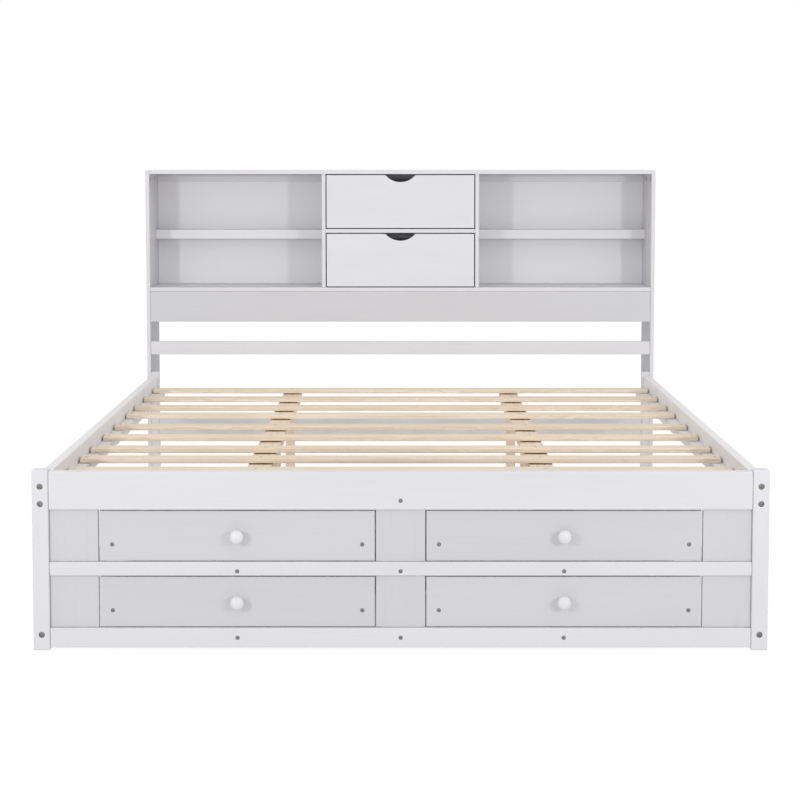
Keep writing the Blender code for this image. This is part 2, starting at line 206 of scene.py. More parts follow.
def bare_pine(name, axis, light, dark, knot):
    """Sanded pine: long growth lines, darker late wood, scattered knots and a dry surface."""
    material, tree, shader = new_material(name)
    streaks = noise(tree, own_coordinates(tree, along_grain(axis, 3.0, 150.0)), detail=6.0, roughness=0.62)
    sweep = noise(tree, own_coordinates(tree, along_grain(axis, 1.3, 11.0)), detail=2.0)
    blotch = noise(tree, own_coordinates(tree, along_grain(axis, 2.2, 9.0)), scale=1.7, detail=3.0)

    # Growth lines: bands across the board, bent by a slow sweep along it
    bands = add(
        tree, "ShaderNodeTexWave",
        {
            "Vector": own_coordinates(tree, along_grain(axis, 0.55, 1.0)),
            "Scale": 26.0, "Distortion": 9.0, "Detail": 3.0, "Detail Scale": 0.8, "Detail Roughness": 0.6,
        },
        wave_type="RINGS",
        rings_direction=axis,
    ).outputs[1]

    # Knots: a few cells of a sparse pattern, each a dark heart with a ring round it
    cells = add(
        tree, "ShaderNodeTexVoronoi",
        {"Vector": own_coordinates(tree, along_grain(axis, 2.4, 9.0)), "Scale": 1.0, "Randomness": 1.0},
    )
    pick = add(tree, "ShaderNodeSeparateColor", {0: cells.outputs["Color"]}).outputs[0]
    chosen = remap(tree, pick, 0.60, 0.62, 0.0, 1.0)
    wobble = calculate(tree, "MULTIPLY", calculate(tree, "SUBTRACT", sweep, 0.5), 0.05)
    distance = calculate(tree, "ADD", cells.outputs["Distance"], wobble)
    heart = calculate(tree, "MULTIPLY", remap(tree, distance, 0.045, 0.075, 1.0, 0.0), chosen)
    halo = calculate(tree, "MULTIPLY", remap(tree, distance, 0.07, 0.19, 0.55, 0.0), chosen)

    grain = remap(tree, streaks, 0.34, 0.66, 0.0, 1.0)
    colour = blend_colours(tree, grain, (*light, 1.0), (*dark, 1.0))
    late = calculate(
        tree, "MULTIPLY",
        remap(tree, bands, 0.45, 0.95, 0.0, 0.55), remap(tree, blotch, 0.35, 0.7, 0.25, 1.0),
    )
    warm = tuple(channel * tint for channel, tint in zip(dark, (0.93, 0.84, 0.72)))
    colour = blend_colours(tree, late, colour, (*warm, 1.0))
    colour = blend_colours(tree, halo, colour, (*warm, 1.0))
    colour = blend_colours(tree, heart, colour, (*knot, 1.0))
    tone = piece_tone(tree, PINE_SPREAD)
    tone = calculate(tree, "MULTIPLY", tone, remap(tree, blotch, 0.3, 0.7, 0.97, 1.02))
    colour = blend_colours(tree, 1.0, colour, grey(tree, tone), "MULTIPLY")
    tree.links.new(colour, shader.inputs["Base Color"])
    tree.links.new(remap(tree, streaks, 0.3, 0.7, 0.52, 0.68), shader.inputs["Roughness"])
    height = calculate(tree, "SUBTRACT", streaks, calculate(tree, "MULTIPLY", heart, 0.4))
    relief = add(tree, "ShaderNodeBump", {"Strength": 0.45, "Distance": 0.00025, "Height": height})
    tree.links.new(relief.outputs[0], shader.inputs["Normal"])
    return material


def faced_board(name, colour, roughness):
    """Hardboard with a white face: very fine pebble and slow tone drift."""
    material, tree, shader = new_material(name)
    pebble = noise(tree, own_coordinates(tree, (1.0, 1.0, 1.0)), scale=900.0, detail=2.0)
    drift = noise(tree, own_coordinates(tree, (1.0, 1.0, 1.0)), scale=3.0, detail=3.0)
    base = blend_colours(
        tree, 1.0, (*colour, 1.0), grey(tree, remap(tree, drift, 0.3, 0.7, 0.982, 1.01)), "MULTIPLY"
    )
    tree.links.new(base, shader.inputs["Base Color"])
    rough = remap(tree, drift, 0.25, 0.75, roughness - 0.05, roughness + 0.06)
    tree.links.new(rough, shader.inputs["Roughness"])
    relief = add(tree, "ShaderNodeBump", {"Strength": 0.3, "Distance": 0.00006, "Height": pebble})
    tree.links.new(relief.outputs[0], shader.inputs["Normal"])
    return material


def plated_steel(name, colour, roughness):
    """Zinc-plated steel with a mottled, slightly brushed plating."""
    material, tree, shader = new_material(name)
    mottle = noise(tree, own_coordinates(tree, (1.0, 1.0, 1.0)), scale=420.0, detail=4.0)
    turned = noise(tree, own_coordinates(tree, (400.0, 400.0, 2500.0)), detail=2.0)
    base = blend_colours(
        tree, 1.0, (*colour, 1.0), grey(tree, remap(tree, mottle, 0.3, 0.7, 0.8, 1.1)), "MULTIPLY"
    )
    tree.links.new(base, shader.inputs["Base Color"])
    rough = remap(tree, mottle, 0.3, 0.7, roughness - 0.07, roughness + 0.1)
    tree.links.new(rough, shader.inputs["Roughness"])
    relief = add(tree, "ShaderNodeBump", {"Strength": 0.3, "Distance": 0.00002, "Height": turned})
    tree.links.new(relief.outputs[0], shader.inputs["Normal"])
    shader.inputs["Metallic"].default_value = 1.0
    return material


# Colours
WHITE = (0.682, 0.678, 0.702)
# painted light: a lighter copy of the frame white for the ledge lips, where more light falls
LIT_LEDGE_WHITE = (0.775, 0.775, 0.800)
# painted light: a lighter, warmer copy of the frame white for the side rails, for the light on their inner
# faces
LIT_SIDE_WHITE = (0.765, 0.748, 0.748)
GREY = (0.590, 0.589, 0.612)
SHELF = (0.690, 0.694, 0.722)
BACK_SHEET = (0.800, 0.801, 0.830)
LINER = (0.68, 0.68, 0.69)
INNER_FACE_SHADE = (0.62, 0.62, 0.63, 1.0)     # painted shade: multiplies the paint on the inner face below the bookcase
PINE_LIGHT = (0.80, 0.685, 0.555)
PINE_DARK = (0.70, 0.575, 0.440)
PINE_KNOT = (0.30, 0.15, 0.07)
KNOB_WHITE = (0.725, 0.725, 0.740)
SCREW_ZINC = (0.30, 0.29, 0.27)
CAM_ZINC = (0.55, 0.55, 0.56)

FRAME_SATIN = 0.42            # roughness of the frame's paint

# By slot and direction of the grain, or by name
MATERIALS = {}
for grain in "XYZ":
    MATERIALS["frame_white", grain] = painted_wood(f"white_paint_{grain}", WHITE, grain, FRAME_SATIN)
    MATERIALS["panel_grey", grain] = painted_wood(f"grey_paint_{grain}", GREY, grain, 0.47)
    MATERIALS["shelf_white", grain] = painted_wood(f"shelf_paint_{grain}", SHELF, grain, 0.45)
    MATERIALS["drawer_board", grain] = painted_wood(f"liner_paint_{grain}", LINER, grain, 0.50)
    MATERIALS["pine", grain] = bare_pine(f"pine_{grain}", grain, PINE_LIGHT, PINE_DARK, PINE_KNOT)
MATERIALS["knob"] = painted_wood("knob_paint", KNOB_WHITE, "Z", 0.38)
MATERIALS["ledge"] = painted_wood("lit_ledge_paint", LIT_LEDGE_WHITE, "X", FRAME_SATIN)
MATERIALS["side"] = painted_wood("lit_side_rail_paint", LIT_SIDE_WHITE, "Y", FRAME_SATIN)
MATERIALS["sheet"] = faced_board("faced_hardboard", BACK_SHEET, 0.46)
MATERIALS["screw"] = plated_steel("zinc_plate", SCREW_ZINC, 0.42)
MATERIALS["cam"] = plated_steel("cam_zinc", CAM_ZINC, 0.45)


# ---------------------------------------------------------------- mesh tools

CORNER_ANGLE = 50.0           # degrees; a sharper edge is a corner of the board
SMOOTH_ANGLE = 35.0           # degrees; a sharper edge stays sharp in the shading


def link(name, mesh, location=(0.0, 0.0, 0.0)):
    """An object for a mesh, in the scene."""
    obj = bpy.data.objects.new(name, mesh)
    obj.location = location
    bpy.context.scene.collection.objects.link(obj)
    return obj


def mesh_from(builder, name):
    """A mesh filled by a function that is handed an empty bmesh."""
    cage = bmesh.new()
    builder(cage)
    mesh = bpy.data.meshes.new(name)
    cage.to_mesh(mesh)
    cage.free()
    return mesh


def cuboid(cage, low, high):
    """Add a box between two corners."""
    made = bmesh.ops.create_cube(cage, size=1.0)["verts"]
    size = Vector(high) - Vector(low)
    middle = (Vector(high) + Vector(low)) / 2
    for vert in made:
        vert.co = Vector(a * b for a, b in zip(vert.co, size)) + middle


def rod(cage, start, end, radius, steps=24):
    """Add a closed cylinder between two points that differ along one axis."""
    start = Vector(start)
    end = Vector(end)
    turn = Vector((0.0, 0.0, 1.0)).rotation_difference(end - start).to_matrix()
    made = bmesh.ops.create_cone(
        cage, cap_ends=True, segments=steps, radius1=radius, radius2=radius, depth=(end - start).length
    )["verts"]
    for vert in made:
        vert.co = turn @ vert.co + (start + end) / 2


def round_edges(cage, radius):
    """Round every real corner edge."""
    sharp = [
        edge for edge in cage.edges
        if len(edge.link_faces) == 2 and edge.calc_face_angle() > math.radians(CORNER_ANGLE)
    ]
    bmesh.ops.bevel(
        cage, geom=sharp, offset=radius, segments=3, profile=0.5, affect="EDGES", clamp_overlap=True
    )


def cut(mesh, cutter):
    """The mesh with another mesh taken away from it. Both are used up."""
    body = link("cutting_body", mesh)
    tool = link("cutting_tool", cutter)
    boolean = body.modifiers.new("cut", "BOOLEAN")
    boolean.operation = "DIFFERENCE"
    boolean.solver = "EXACT"
    boolean.object = tool
    bpy.context.view_layer.update()
    result = bpy.data.meshes.new_from_object(body.evaluated_get(bpy.context.evaluated_depsgraph_get()))
    for obj, data in ((body, mesh), (tool, cutter)):
        bpy.data.objects.remove(obj)
        bpy.data.meshes.remove(data)
    return result


def smooth_mesh(mesh, angle=SMOOTH_ANGLE):
    """Smooth shading up to an angle between faces."""
    mesh.shade_smooth()
    mesh.set_sharp_from_angle(angle=math.radians(angle))


def smooth_board(obj):
    """Smooth shading that keeps real corners sharp and broad faces flat."""
    smooth_mesh(obj.data)
    weighted = obj.modifiers.new("flat_faces", "WEIGHTED_NORMAL")
    weighted.keep_sharp = True
    weighted.weight = 80


def finish_piece(obj, material, body, replaced=()):
    """Give a piece its material and the body that it rides on."""
    obj.data.materials.clear()
    obj.data.materials.append(material)
    smooth_board(obj)
    if replaced:
        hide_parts(*replaced)
    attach(obj, body)


def longest_axis(low, high):
    """The letter of a box's longest side."""
    size = Vector(high) - Vector(low)
    return "XYZ"[max(range(3), key=lambda index: size[index])]


def board(name, low, high, finish, body=FRAME_BODY, radius=RAIL_RADIUS, shapes=(), holes=(),
          replaced=(), material=None, grain_axis=None):
    """One board between two corners. shapes are cut before its edges are rounded, holes after.

    Each shape or hole is a function that adds a closed solid to a bmesh, in the board's place.
    """
    low = Vector(low)
    high = Vector(high)
    middle = (low + high) / 2
    mesh = mesh_from(lambda cage: cuboid(cage, low, high), name)
    if shapes:
        mesh = cut(mesh, mesh_from(lambda cage: [shape(cage) for shape in shapes], "shapes"))
    cage = bmesh.new()
    cage.from_mesh(mesh)
    round_edges(cage, radius)
    cage.to_mesh(mesh)
    cage.free()
    if holes:
        mesh = cut(mesh, mesh_from(lambda cage: [hole(cage) for hole in holes], "holes"))
    for vert in mesh.vertices:
        vert.co -= middle
    mesh.name = name
    obj = link(name, mesh, middle)
    chosen = material or MATERIALS[finish, grain_axis or longest_axis(low, high)]
    finish_piece(obj, chosen, body, replaced)


def node_board(node, finish, **options):
    """A board in the place of a CAD node, under the node's name with _board added."""
    low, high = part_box(node)
    board(f"{node}_board", low, high, finish, replaced=(node,), **options)


# ---------------------------------------------------------------- fasteners

def counterbore(place, axis, radius, depth):
    """A straight round hole sunk into a face at a place; axis points out of the face."""
    outward = Vector(axis)

    def hole(cage):
        rod(cage, Vector(place) - outward * depth, Vector(place) + outward * depth, radius)

    return hole


def turned(profile, steps):
    """A bmesh function for a solid of revolution about Z from radius and height pairs."""
    def build(cage):
        first = [cage.verts.new((radius, 0.0, height)) for radius, height in profile]
        edges = [cage.edges.new(pair) for pair in zip(first, first[1:])]
        bmesh.ops.spin(
            cage, geom=first + edges, cent=(0, 0, 0), axis=(0, 0, 1), angle=2 * math.pi,
            steps=steps, use_merge=True,
        )
        bmesh.ops.remove_doubles(cage, verts=cage.verts, dist=0.000005)
        bmesh.ops.recalc_face_normals(cage, faces=cage.faces)
    return build


def head_profile(radius, height, dome):
    """Outline of a screw or bolt head, from the middle of its top to the middle of its base."""
    crown_steps = 5
    points = []
    for step in range(crown_steps):
        share = step / crown_steps
        points.append((radius * share, height + dome * (1 - share * share)))
    points += [
        (radius * 0.94, height),
        (radius, height * 0.75),
        (radius, 0.0),
        (radius * 0.5, -HEAD_SINK),
        (0.0, -HEAD_SINK),
    ]
    return points


def socket_bolt_mesh():
    """A bolt head with a hexagon socket, facing +Z, its seat at the origin."""
    head = mesh_from(turned(head_profile(BOLT_RADIUS, BOLT_HEAD_HEIGHT, BOLT_DOME), 32), "bolt")

    def socket(cage):
        rod(
            cage, (0, 0, BOLT_HEAD_HEIGHT * 0.25), (0, 0, BOLT_HEAD_HEIGHT * 2),
            BOLT_SOCKET_RADIUS, steps=6,
        )

    return cut(head, mesh_from(socket, "socket"))


def cross_screw_mesh(radius, height):
    """A countersunk screw head with a cross recess, facing +Z."""
    head = mesh_from(turned(head_profile(radius, height, SCREW_DOME), 28), "screw")
    reach = radius * 0.62
    slot_half = radius * 0.13
    floor = height * 0.35

    def first_slot(cage):
        cuboid(cage, (-reach, -slot_half, floor), (reach, slot_half, height * 3))

    def second_slot(cage):
        cuboid(cage, (-slot_half, -reach, floor), (slot_half, reach, height * 3))

    head = cut(head, mesh_from(first_slot, "slot"))
    return cut(head, mesh_from(second_slot, "slot"))


def cam_mesh():
    """The face of a cam lock: a shallow disc with a cross and a pointer notch."""
    disc = mesh_from(turned(head_profile(CAM_RADIUS, CAM_HEIGHT, CAM_DOME), 36), "cam")
    cross = CAM_RADIUS * 0.45
    half = CAM_RADIUS * 0.12

    def mark(cage):
        cuboid(cage, (-cross, -half, CAM_HEIGHT * 0.3), (cross, half, CAM_HEIGHT * 3))

    def second_mark(cage):
        cuboid(cage, (-half, -cross, CAM_HEIGHT * 0.3), (half, CAM_RADIUS * 0.8, CAM_HEIGHT * 3))

    disc = cut(disc, mesh_from(mark, "mark"))
    return cut(disc, mesh_from(second_mark, "mark"))


BOLT_MESH = socket_bolt_mesh()
SCREW_MESH = cross_screw_mesh(SCREW_RADIUS, SCREW_HEAD_HEIGHT)
SMALL_SCREW_MESH = cross_screw_mesh(SMALL_SCREW_RADIUS, SMALL_SCREW_HEIGHT)
CAM_MESH = cam_mesh()


def fastener(name, mesh, place, axis, body=FRAME_BODY, material=None):
    """Set a fastener's head at a place, facing along axis."""
    obj = link(name, mesh, place)
    obj.rotation_euler = Vector((0.0, 0.0, 1.0)).rotation_difference(Vector(axis)).to_euler()
    if not obj.data.materials:
        obj.data.materials.append(material or MATERIALS["screw"])
        smooth_mesh(obj.data)
    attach(obj, body)


# ---------------------------------------------------------------- foot frame

FRONT = (0.0, -1.0, 0.0)
UP = (0.0, 0.0, 1.0)
SIDE_RAIL_LOW, SIDE_RAIL_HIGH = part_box("side_rail_right")
LOWER_RAIL_LOW, LOWER_RAIL_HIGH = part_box("lower_side_rail_right")
BOLT_OFFSET = 0.019           # the two bolts of a side rail, above and below its middle
TOP_RAIL_SCREW = 0.24         # screw heights, as a share of the rail's height
MID_RAIL_SCREW = 0.33
BOTTOM_RAIL_SCREW = 0.5


def bolt_heights():
    """Heights of the bolts in a foot post: two into the side rail and one into the lower rail."""
    rail_middle = (SIDE_RAIL_LOW.z + SIDE_RAIL_HIGH.z) / 2
    lower_middle = (LOWER_RAIL_LOW.z + LOWER_RAIL_HIGH.z) / 2
    return (rail_middle + BOLT_OFFSET, rail_middle - BOLT_OFFSET, lower_middle)


def make_posts():
    """Foot posts with their counterbored bolts."""
    for side, _ in SIDES:
        node = f"foot_post_{side}"
        low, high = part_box(node)
        middle_x = (low.x + high.x) / 2
        places = [(middle_x, low.y, height) for height in bolt_heights()]
        holes = [counterbore(place, FRONT, BOLT_HOLE_RADIUS, BOLT_HOLE_DEPTH) for place in places]
        node_board(node, "frame_white", radius=POST_RADIUS, holes=holes)
        for index, (x, y, z) in enumerate(places):
            seat = (x, y + BOLT_HOLE_DEPTH, z)
            fastener(f"post_bolt_{side}_{index + 1}", BOLT_MESH, seat, FRONT)


def screwed_rail(node, offsets, share):
    """A rail of the foot frame with a row of screws at a share of its height."""
    low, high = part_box(node)
    places = [(x, low.y, low.z + share * (high.z - low.z)) for x in offsets]
    holes = [counterbore(place, FRONT, SCREW_HOLE_RADIUS, SCREW_HOLE_DEPTH) for place in places]
    node_board(node, "frame_white", holes=holes)
    for index, (x, y, z) in enumerate(places):
        seat = (x, y + SCREW_HOLE_DEPTH, z)
        fastener(f"{node}_screw_{index + 1}", SCREW_MESH, seat, FRONT)


def make_foot_rails():
    """Top, middle and bottom rails with the screws into the uprights and guides behind them."""
    guide_low, guide_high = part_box("drawer_guide_right")
    guide_x = (guide_low.x + guide_high.x) / 2
    row = (-guide_x, 0.0, guide_x)
    screwed_rail("foot_top_rail", (0.0,), TOP_RAIL_SCREW)
    screwed_rail("foot_mid_rail", row, MID_RAIL_SCREW)
    screwed_rail("foot_bottom_rail", row, BOTTOM_RAIL_SCREW)


def make_foot_panels():
    """Infill panels, housed over the middle rail."""
    rail_low, rail_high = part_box("foot_mid_rail")

    def housing(cage):
        cuboid(
            cage,
            (rail_low.x, rail_low.y - CUT_THROUGH, rail_low.z - SEAM),
            (rail_high.x, rail_high.y + SEAM, rail_high.z + SEAM),
        )

    for place in ("left", "middle", "right"):
        node_board(f"foot_panel_{place}", "panel_grey", radius=PANEL_RADIUS, shapes=(housing,))


# ---------------------------------------------------------------- sides and deck

def make_sides():
    """Side rails, lower side rails and slat ledgers."""
    for side, _ in SIDES:
        # painted light: the side rails take the lighter, warmer copy of the white paint
        node_board(f"side_rail_{side}", "frame_white", material=MATERIALS["side"])
        node_board(f"lower_side_rail_{side}", "frame_white")
        node_board(f"slat_ledger_{side}", "frame_white", radius=PANEL_RADIUS)


SLATS = sorted(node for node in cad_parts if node.startswith("slat_") and node[-1].isdigit())
SLAT_SCREW_INSET = 0.012      # from the slat's end to its ledger screw
HEAD_LEG_PLACE = 1.810        # head-end legs, behind the foot face
BEAM_BLOCK_WIDTH = 0.090
BEAM_BLOCK_HEIGHT = 0.020
BEAM_BLOCK_DEPTH = 0.030


def slat_screw_places(low, high):
    """Where a slat is screwed down: its two ends and over the two beams."""
    middle_y = (low.y + high.y) / 2
    beam_low, beam_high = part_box("centre_beam_right")
    beam_x = (beam_low.x + beam_high.x) / 2
    end_x = high.x - SLAT_SCREW_INSET
    return [(x, middle_y, high.z) for x in (-end_x, -beam_x, beam_x, end_x)]


def make_slats():
    """Pine slats, each screwed to the ledgers and the beams."""
    for node in SLATS:
        low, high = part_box(node)
        places = slat_screw_places(low, high)
        hole_radius = SMALL_SCREW_RADIUS + SMALL_SCREW_CLEARANCE
        holes = [counterbore(place, UP, hole_radius, SMALL_SCREW_HOLE_DEPTH) for place in places]
        node_board(node, "pine", radius=SLAT_RADIUS, holes=holes)
        for order, (x, y, z) in enumerate(places):
            seat = (x, y, z - SMALL_SCREW_HOLE_DEPTH)
            fastener(f"{node}_screw_{order + 1}", SMALL_SCREW_MESH, seat, UP)


def make_beams():
    """Centre beams, their legs at mid length and at the head end, and the blocks at the foot."""
    leg_low, leg_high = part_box("centre_leg_right")
    head_leg_y = FOOT_Y + HEAD_LEG_PLACE
    rail_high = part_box("foot_top_rail")[1]
    for side, sign in SIDES:
        node_board(f"centre_beam_{side}", "pine", radius=PANEL_RADIUS)
        node_board(f"centre_leg_{side}", "pine", radius=RAIL_RADIUS)
        beam_low, beam_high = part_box(f"centre_beam_{side}")
        middle_x = (beam_low.x + beam_high.x) / 2
        half = (leg_high.x - leg_low.x) / 2
        board(
            f"head_leg_{side}",
            (middle_x - half, head_leg_y - half, 0.0),
            (middle_x + half, head_leg_y + half, leg_high.z),
            "pine", radius=RAIL_RADIUS,
        )
        board(
            f"beam_block_{side}",
            (middle_x - BEAM_BLOCK_WIDTH / 2, rail_high.y + SEAM, beam_low.z - SEAM - BEAM_BLOCK_HEIGHT),
            (middle_x + BEAM_BLOCK_WIDTH / 2, rail_high.y + BEAM_BLOCK_DEPTH, beam_low.z - SEAM),
            "pine", radius=PANEL_RADIUS, grain_axis="X",
        )


# ---------------------------------------------------------------- drawers

SIDE_TRIM = 0.0007            # taken off a drawer front at each end
TOP_TRIM = 0.0012             # the fronts hang a little low in their openings
BOTTOM_TRIM = -0.0006         # so they reach a little below their CAD nodes
DRAWER_SCREW_INSET = 0.028    # from the end of a drawer front
DRAWER_SCREW_HEIGHT = 0.0355  # above the lower edge of a drawer front
BOX_WALL = 0.015
BOX_BOTTOM_THICKNESS = 0.004
BOX_BOTTOM_LIFT = 0.003
RUNNER_WIDTH = 0.012
RUNNER_LENGTH = 0.070
RUNNER_DROP = 0.014
RUNNER_PLAY = 0.0015          # beside the guide
RUNNER_INSET = 0.020          # from the back of the drawer box
BACK_DROP = 0.004             # a tray's back is lower than its sides
KNOB_STAND_OFF = 0.0002       # between the foot of a knob and the back of its CAD node
KNOB_SMOOTH_ANGLE = 50.0


def knob_profile(length, radius):
    """Outline of a mushroom knob, from its crown to its foot, as radius and height pairs."""
    neck_top = length * 0.43
    rim = neck_top + (length - neck_top) * 0.42
    points = []
    crown_steps = 12
    for step in range(crown_steps + 1):
        angle = math.pi / 2 * step / crown_steps
        points.append((radius * math.sin(angle), rim + (length - rim) * math.cos(angle)))
    under_steps = 8
    neck = radius * 0.43
    for step in range(1, under_steps + 1):
        angle = math.pi / 2 * step / under_steps
        points.append((
            neck + (radius - neck) * math.cos(angle) ** 0.8,
            neck_top + (rim - neck_top) * (1 - math.sin(angle)),
        ))
    points += [
        (neck, length * 0.20),
        (neck * 1.12, length * 0.13),
        (neck * 1.42, length * 0.085),
        (neck * 1.46, length * 0.04),
        (neck * 1.42, KNOB_STAND_OFF),
        (0.0, KNOB_STAND_OFF),
    ]
    return points


def make_knob(label, body):
    """A turned and painted knob in the place of its CAD node."""
    node = f"drawer_knob_{label}"
    low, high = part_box(node)
    length = high.y - low.y
    radius = (high.x - low.x) / 2
    mesh = mesh_from(turned(knob_profile(length, radius), 48), f"{node}_turned")
    centre = ((low.x + high.x) / 2, high.y, (low.z + high.z) / 2)
    obj = link(f"{node}_turned", mesh, centre)
    obj.rotation_euler = (math.pi / 2, 0.0, 0.0)
    obj.data.materials.append(MATERIALS["knob"])
    smooth_mesh(obj.data, KNOB_SMOOTH_ANGLE)
    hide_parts(node)
    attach(obj, body)


def make_tray(label, body, low, high, wall, replaced=()):
    """Two sides, a back and a bottom panel between two corners, open towards the front."""
    bottom_low = low.z + BOX_BOTTOM_LIFT
    bottom_high = bottom_low + BOX_BOTTOM_THICKNESS
    board(
        f"{label}_side_left", low, (low.x + wall, high.y, high.z), "drawer_board", body=body,
        radius=PANEL_RADIUS, replaced=replaced,
    )
    board(
        f"{label}_side_right", (high.x - wall, low.y, low.z), high, "drawer_board", body=body,
        radius=PANEL_RADIUS,
    )
    board(
        f"{label}_back",
        (low.x + wall + SEAM, high.y - wall, bottom_high + SEAM),
        (high.x - wall - SEAM, high.y, high.z - BACK_DROP),
        "drawer_board", body=body, radius=PANEL_RADIUS,
    )
    board(
        f"{label}_bottom",
        (low.x + wall + SEAM, low.y, bottom_low),
        (high.x - wall - SEAM, high.y - SEAM, bottom_high),
        "drawer_board", body=body, radius=SHEET_RADIUS, material=MATERIALS["sheet"],
    )


def make_foot_drawer(tier, side):
    """One large drawer: its front and screws, its knob, its four boards and its runner blocks."""
    label = f"{tier}_{side}"
    body = f"{label}_drawer"
    front_node = f"drawer_front_{label}"
    low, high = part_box(front_node)
    screw_z = low.z + DRAWER_SCREW_HEIGHT
    places = [(x, low.y, screw_z) for x in (low.x + DRAWER_SCREW_INSET, high.x - DRAWER_SCREW_INSET)]
    holes = [counterbore(place, FRONT, SCREW_HOLE_RADIUS, SCREW_HOLE_DEPTH) for place in places]
    board(
        f"{front_node}_board",
        low + Vector((SIDE_TRIM, 0.0, BOTTOM_TRIM)), high - Vector((SIDE_TRIM, 0.0, TOP_TRIM)),
        "panel_grey", body=body, radius=PANEL_RADIUS, holes=holes, replaced=(front_node,),
    )
    for index, (x, y, z) in enumerate(places):
        fastener(f"{front_node}_screw_{index + 1}", SCREW_MESH, (x, y + SCREW_HOLE_DEPTH, z), FRONT, body)
    make_knob(label, body)
    box_low, box_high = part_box(f"drawer_box_{label}")
    make_tray(f"drawer_box_{label}", body, box_low, box_high, BOX_WALL, (f"drawer_box_{label}",))
    make_runners(label, body, side, box_low, box_high)


def make_runners(label, body, side, box_low, box_high):
    """Two blocks under the back of a drawer box, one on each side of its guide."""
    guide_low, guide_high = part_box(f"drawer_guide_{side}")
    for name, edge, sign in (("inner", guide_low.x, -1), ("outer", guide_high.x, 1)):
        near = edge + sign * RUNNER_PLAY
        far = near + sign * RUNNER_WIDTH
        back_y = box_high.y - RUNNER_INSET
        board(
            f"drawer_runner_{label}_{name}",
            (min(near, far), back_y - RUNNER_LENGTH, box_low.z - RUNNER_DROP),
            (max(near, far), back_y, box_low.z + BOX_BOTTOM_LIFT - SEAM),
            "pine", body=body, radius=PANEL_RADIUS,
        )


def make_lower_guides():
    """Guides under the lower drawers, between the bottom rail and the back board."""
    rail_low, rail_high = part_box("foot_bottom_rail")
    back_low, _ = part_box("drawer_back_board")
    for side, _ in SIDES:
        guide_low, guide_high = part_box(f"drawer_guide_{side}")
        board(
            f"lower_guide_{side}",
            (guide_low.x, rail_high.y + SEAM, rail_high.z - (guide_high.z - guide_low.z)),
            (guide_high.x, back_low.y - SEAM, rail_high.z),
            "pine", radius=PANEL_RADIUS,
        )


def make_drawer_support():
    """The back board and the upper guides."""
    node_board("drawer_back_board", "drawer_board", radius=PANEL_RADIUS)
    for side, _ in SIDES:
        node_board(f"drawer_guide_{side}", "pine", radius=PANEL_RADIUS)


# ---------------------------------------------------------------- headboard

FINGER_CHORD = 0.096
FINGER_DEPTH = 0.023
SMALL_FRONT_THICKNESS = 0.012
SMALL_TRIM = 0.0012           # taken off a small drawer front all round
SMALL_WALL = 0.010
SMALL_TRAY_HEIGHT = 0.110
SMALL_TRAY_INSET = 0.011      # each side of the tray inside its front
SMALL_TRAY_LIFT = 0.002
BOARD = 0.012
BACK_RAIL_HEIGHT = 0.026
BACK_RAIL_THICKNESS = 0.015   # it lies against the back panel
CAM_DROP = 0.017              # cam locks below the top board
CAM_DEPTHS = (("front", 0.030), ("back", 0.140))

# Screws in the outside of the side panels: behind the headboard's front, node by node
SIDE_SCREW_DEPTHS = (
    ("headboard_top", (0.040, 0.200)),
    ("headboard_floor", (0.040, 0.200)),
    ("headboard_apron", (0.0075,)),
    ("headboard_upper_rail", (0.010,)),
    ("headboard_ledge_left", (0.171,)),
)
RAIL_SCREW_DEPTH = 0.018      # the screws into the legs that carry the side rails


def side_panel_paint(side, sign):
    """White paint, with painted shade darkening the inner face below the bookcase."""
    low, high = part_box(f"headboard_side_{side}")
    floor_low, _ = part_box("headboard_floor")
    material = painted_wood(f"side_panel_paint_{side}", WHITE, "Z", FRAME_SATIN)
    tree = material.node_tree
    shader = tree.nodes["Principled BSDF"]
    place = add(tree, "ShaderNodeTexCoord").outputs["Object"]
    parts = add(tree, "ShaderNodeSeparateXYZ", {0: place})
    inward = calculate(tree, "MULTIPLY", parts.outputs["X"], -sign)
    face = (high.x - low.x) / 2 - PANEL_RADIUS / 2
    on_face = remap(tree, inward, face, face + PANEL_RADIUS / 4, 0.0, 1.0)
    shelf = floor_low.z - (low.z + high.z) / 2
    below = remap(tree, parts.outputs["Z"], shelf, shelf + PANEL_RADIUS, 1.0, 0.0)
    # painted shade: the paint of the inner face below the bookcase is darkened
    factor = calculate(tree, "MULTIPLY", on_face, below)
    painted = shader.inputs["Base Color"].links[0].from_socket
    shaded_paint = blend_colours(tree, factor, painted, INNER_FACE_SHADE, "MULTIPLY")
    tree.links.new(shaded_paint, shader.inputs["Base Color"])
    return material


def make_headboard_frame():
    """Side panels, legs, shelves, dividers, rails and the back panel."""
    for side, sign in SIDES:
        paint = side_panel_paint(side, sign)
        node_board(f"headboard_side_{side}", "frame_white", radius=PANEL_RADIUS, material=paint)
        node_board(f"headboard_leg_{side}", "frame_white", radius=PANEL_RADIUS)
        node_board(f"headboard_divider_{side}", "frame_white", radius=PANEL_RADIUS)
    for node in ("headboard_top", "headboard_floor", "headboard_mid_shelf"):
        node_board(node, "frame_white", radius=PANEL_RADIUS)
    for node in ("headboard_upper_rail", "headboard_lower_rail"):
        node_board(node, "frame_white", radius=RAIL_RADIUS)
    node_board("headboard_apron", "panel_grey", radius=PANEL_RADIUS)
    node_board("headboard_back", "shelf_white", radius=SHEET_RADIUS, material=MATERIALS["sheet"])


